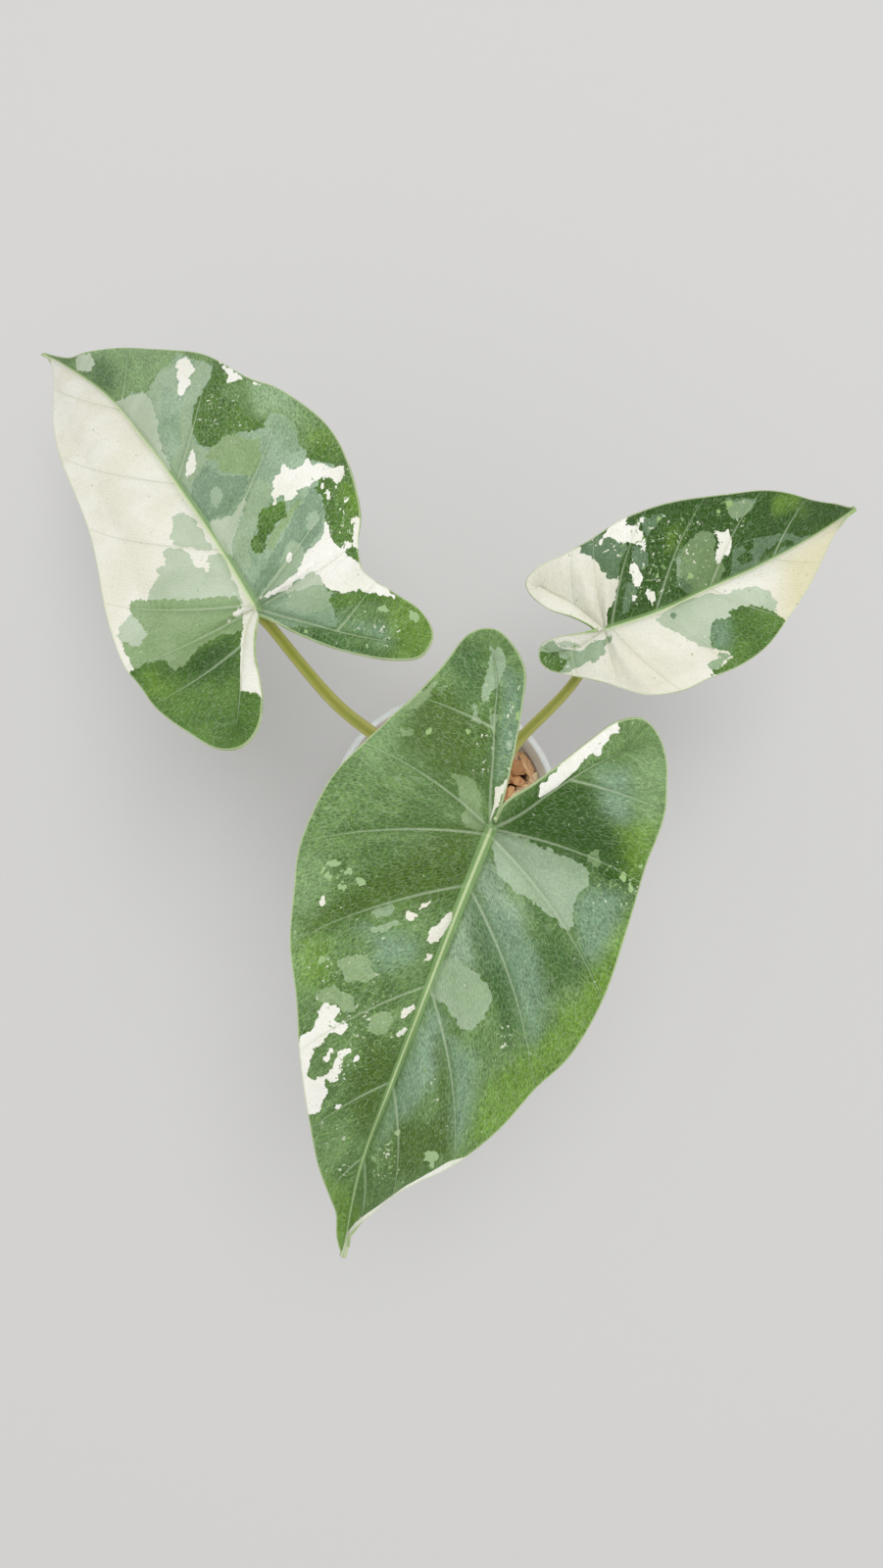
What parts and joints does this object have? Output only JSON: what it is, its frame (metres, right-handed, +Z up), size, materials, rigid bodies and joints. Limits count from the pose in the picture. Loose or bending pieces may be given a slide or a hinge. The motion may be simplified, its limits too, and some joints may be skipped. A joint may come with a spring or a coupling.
{
  "type": "potted giant taro",
  "caption": "Young giant taro with marbled arrow-shaped leaves on arching stalks, rooted in bark chips in a round clear pot.",
  "frame": {"origin": "centre of the pot's flat base, on the surface that it stands on", "axes": "+Z up along the pot's axis; the largest leaf points to -Y and a little to -X"},
  "size_m": [0.3059, 0.322, 0.2419],
  "materials": {
    "pot": "clear, glossy",
    "potting_mix": "rough bark chips, matte",
    "corm_and_roots": "fibrous, matte",
    "petiole": "smooth, satin",
    "blade_front": "waxy leaf, satin, green marbled with mint and cream",
    "blade_far_left": "waxy leaf, satin, one half cream, the other marbled",
    "blade_far_right": "waxy leaf, satin, one half mostly cream, the other green"
  },
  "bodies": {
    "root": {"pot": "pot", "potting_mix": "potting_mix", "corm_and_roots": "corm_and_roots", "petiole_front": "petiole", "petiole_far_left": "petiole", "petiole_far_right": "petiole", "blade_front": "blade_front", "blade_far_left": "blade_far_left", "blade_far_right": "blade_far_right"}
  },
  "joints": []
}
